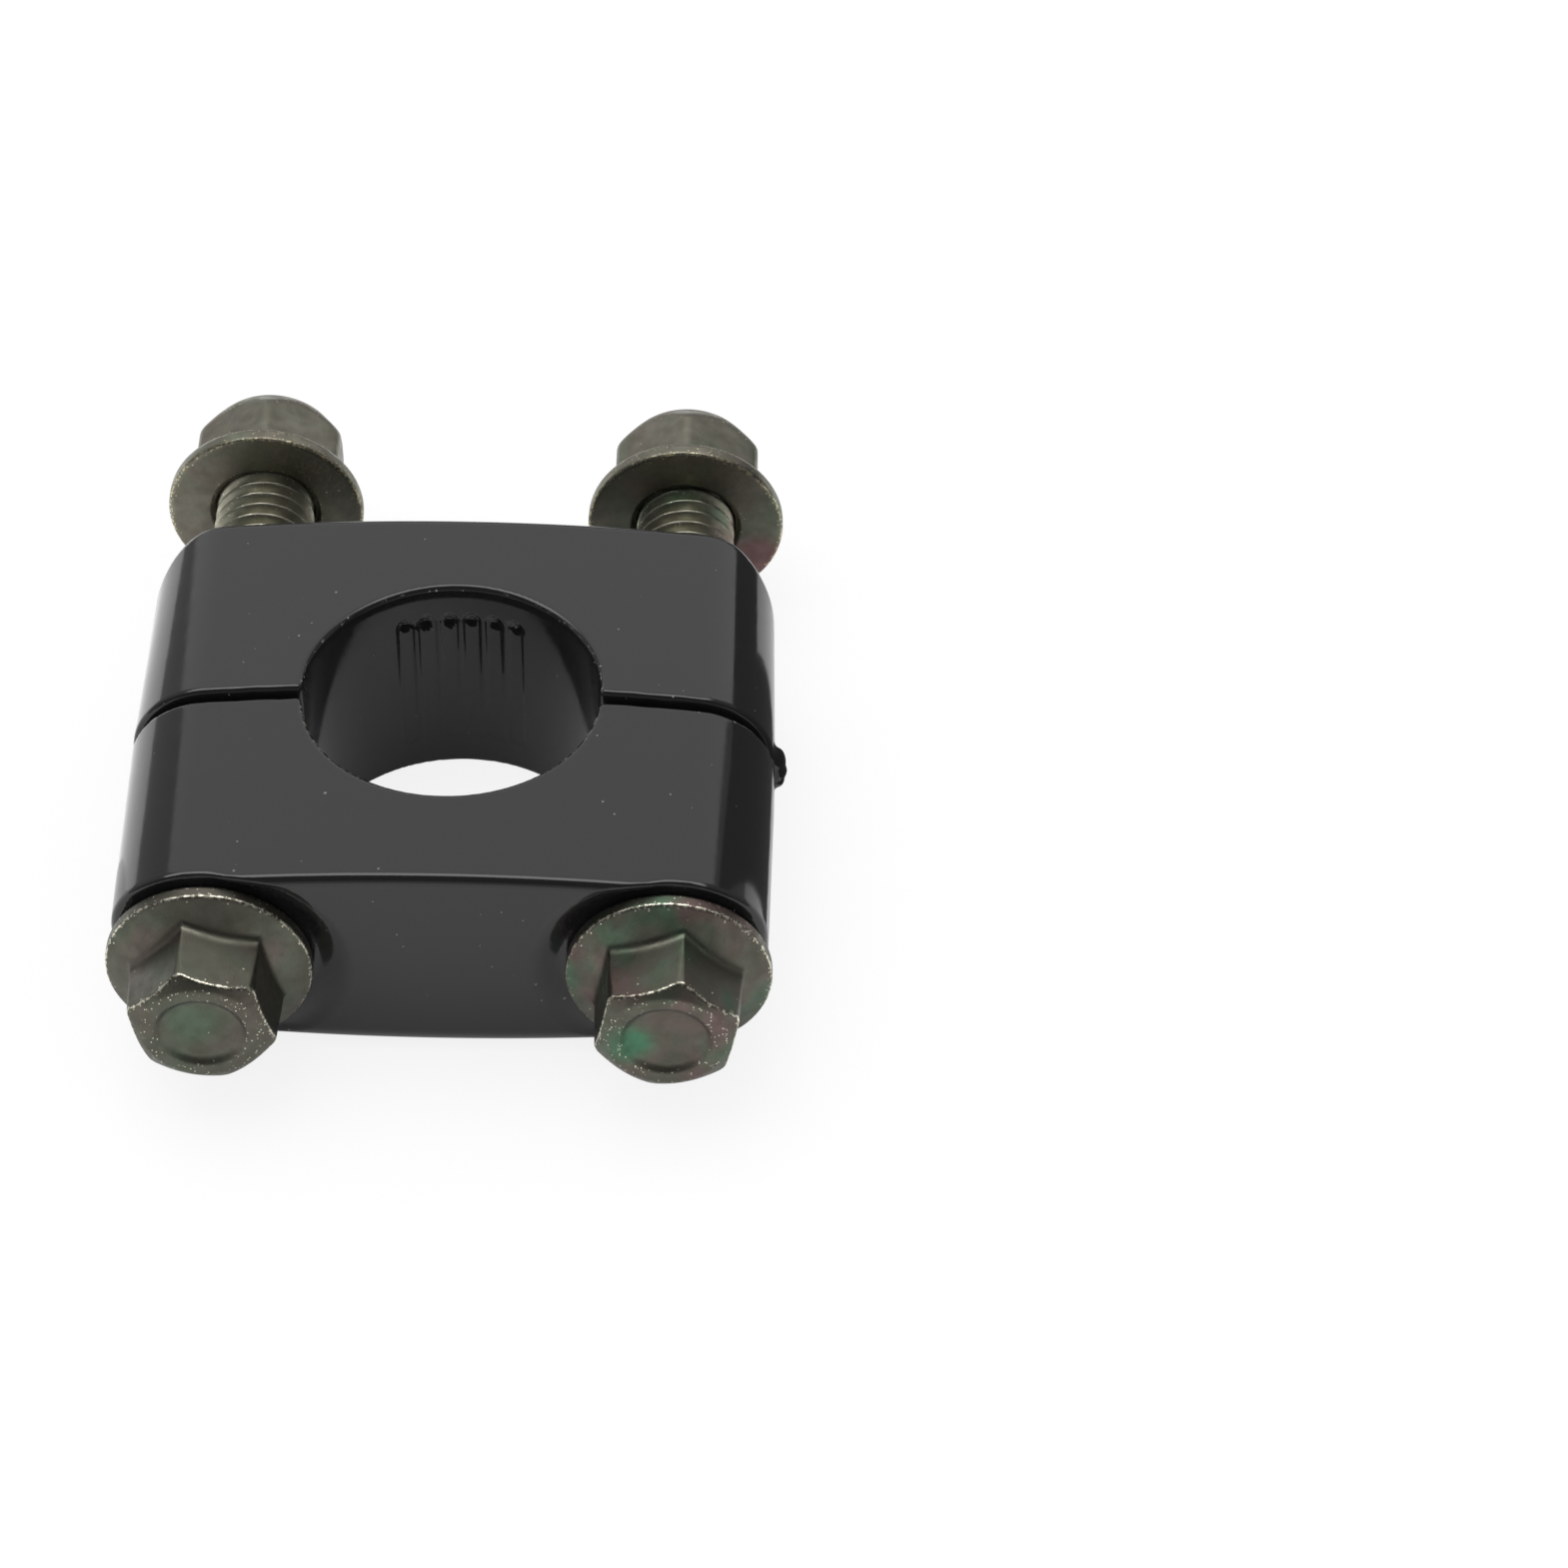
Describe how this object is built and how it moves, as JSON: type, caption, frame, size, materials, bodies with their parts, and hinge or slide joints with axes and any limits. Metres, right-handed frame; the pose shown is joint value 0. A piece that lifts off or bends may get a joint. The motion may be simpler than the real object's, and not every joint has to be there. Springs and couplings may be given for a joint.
{
  "type": "motorcycle handlebar riser clamp",
  "caption": "Two-piece handlebar clamp with a split round bore, flange bolts in head pockets and flange nuts below the seat.",
  "frame": {"origin": "on the axis of the bar that the clamp grips, half way up the clamp", "axes": "+Z along the bar's axis, +Y along the bolts from their heads towards the nuts, +X from the left bolt to the right one"},
  "size_m": [0.049, 0.0652, 0.0182],
  "materials": {
    "black_paint": "gloss black paint over cast aluminium, with specks and thin worn edges",
    "zinc_bolt": "olive-grey zinc plating, worn bright at the edges",
    "zinc_nut": "pale olive-grey zinc plating, worn bright at the edges"
  },
  "bodies": {
    "base": {"base_half": "black_paint"},
    "cap": {"cap_half": "black_paint"},
    "left_bolt": {"bolt_left": "zinc_bolt"},
    "right_bolt": {"bolt_right": "zinc_bolt"},
    "left_nut": {"nut_left": "zinc_nut"},
    "right_nut": {"nut_right": "zinc_nut"}
  },
  "joints": [
    {"name": "cap_slide", "type": "slide", "parent": "base", "child": "cap", "axis": [0, -1, 0], "range_m": [-0.00078, 0.004]},
    {"name": "bolt_left_turn", "type": "hinge", "parent": "cap", "child": "left_bolt", "pos_m": [-0.01675, 0, 0], "axis": [0, 1, 0], "range_deg": [-1050, 1450]},
    {"name": "bolt_right_turn", "type": "hinge", "parent": "cap", "child": "right_bolt", "pos_m": [0.01675, 0, 0], "axis": [0, 1, 0], "range_deg": [-1050, 1450]},
    {"name": "nut_left_travel", "type": "slide", "parent": "cap", "child": "left_nut", "axis": [0, -1, 0], "range_m": [-0.00365, 0.00504]},
    {"name": "nut_right_travel", "type": "slide", "parent": "cap", "child": "right_nut", "axis": [0, -1, 0], "range_m": [-0.00365, 0.00504]}
  ],
  "couplings": [
    {"joint": "nut_left_travel", "follows": "bolt_left_turn", "m_per_rad": 0.00019894},
    {"joint": "nut_right_travel", "follows": "bolt_right_turn", "m_per_rad": 0.00019894}
  ]
}
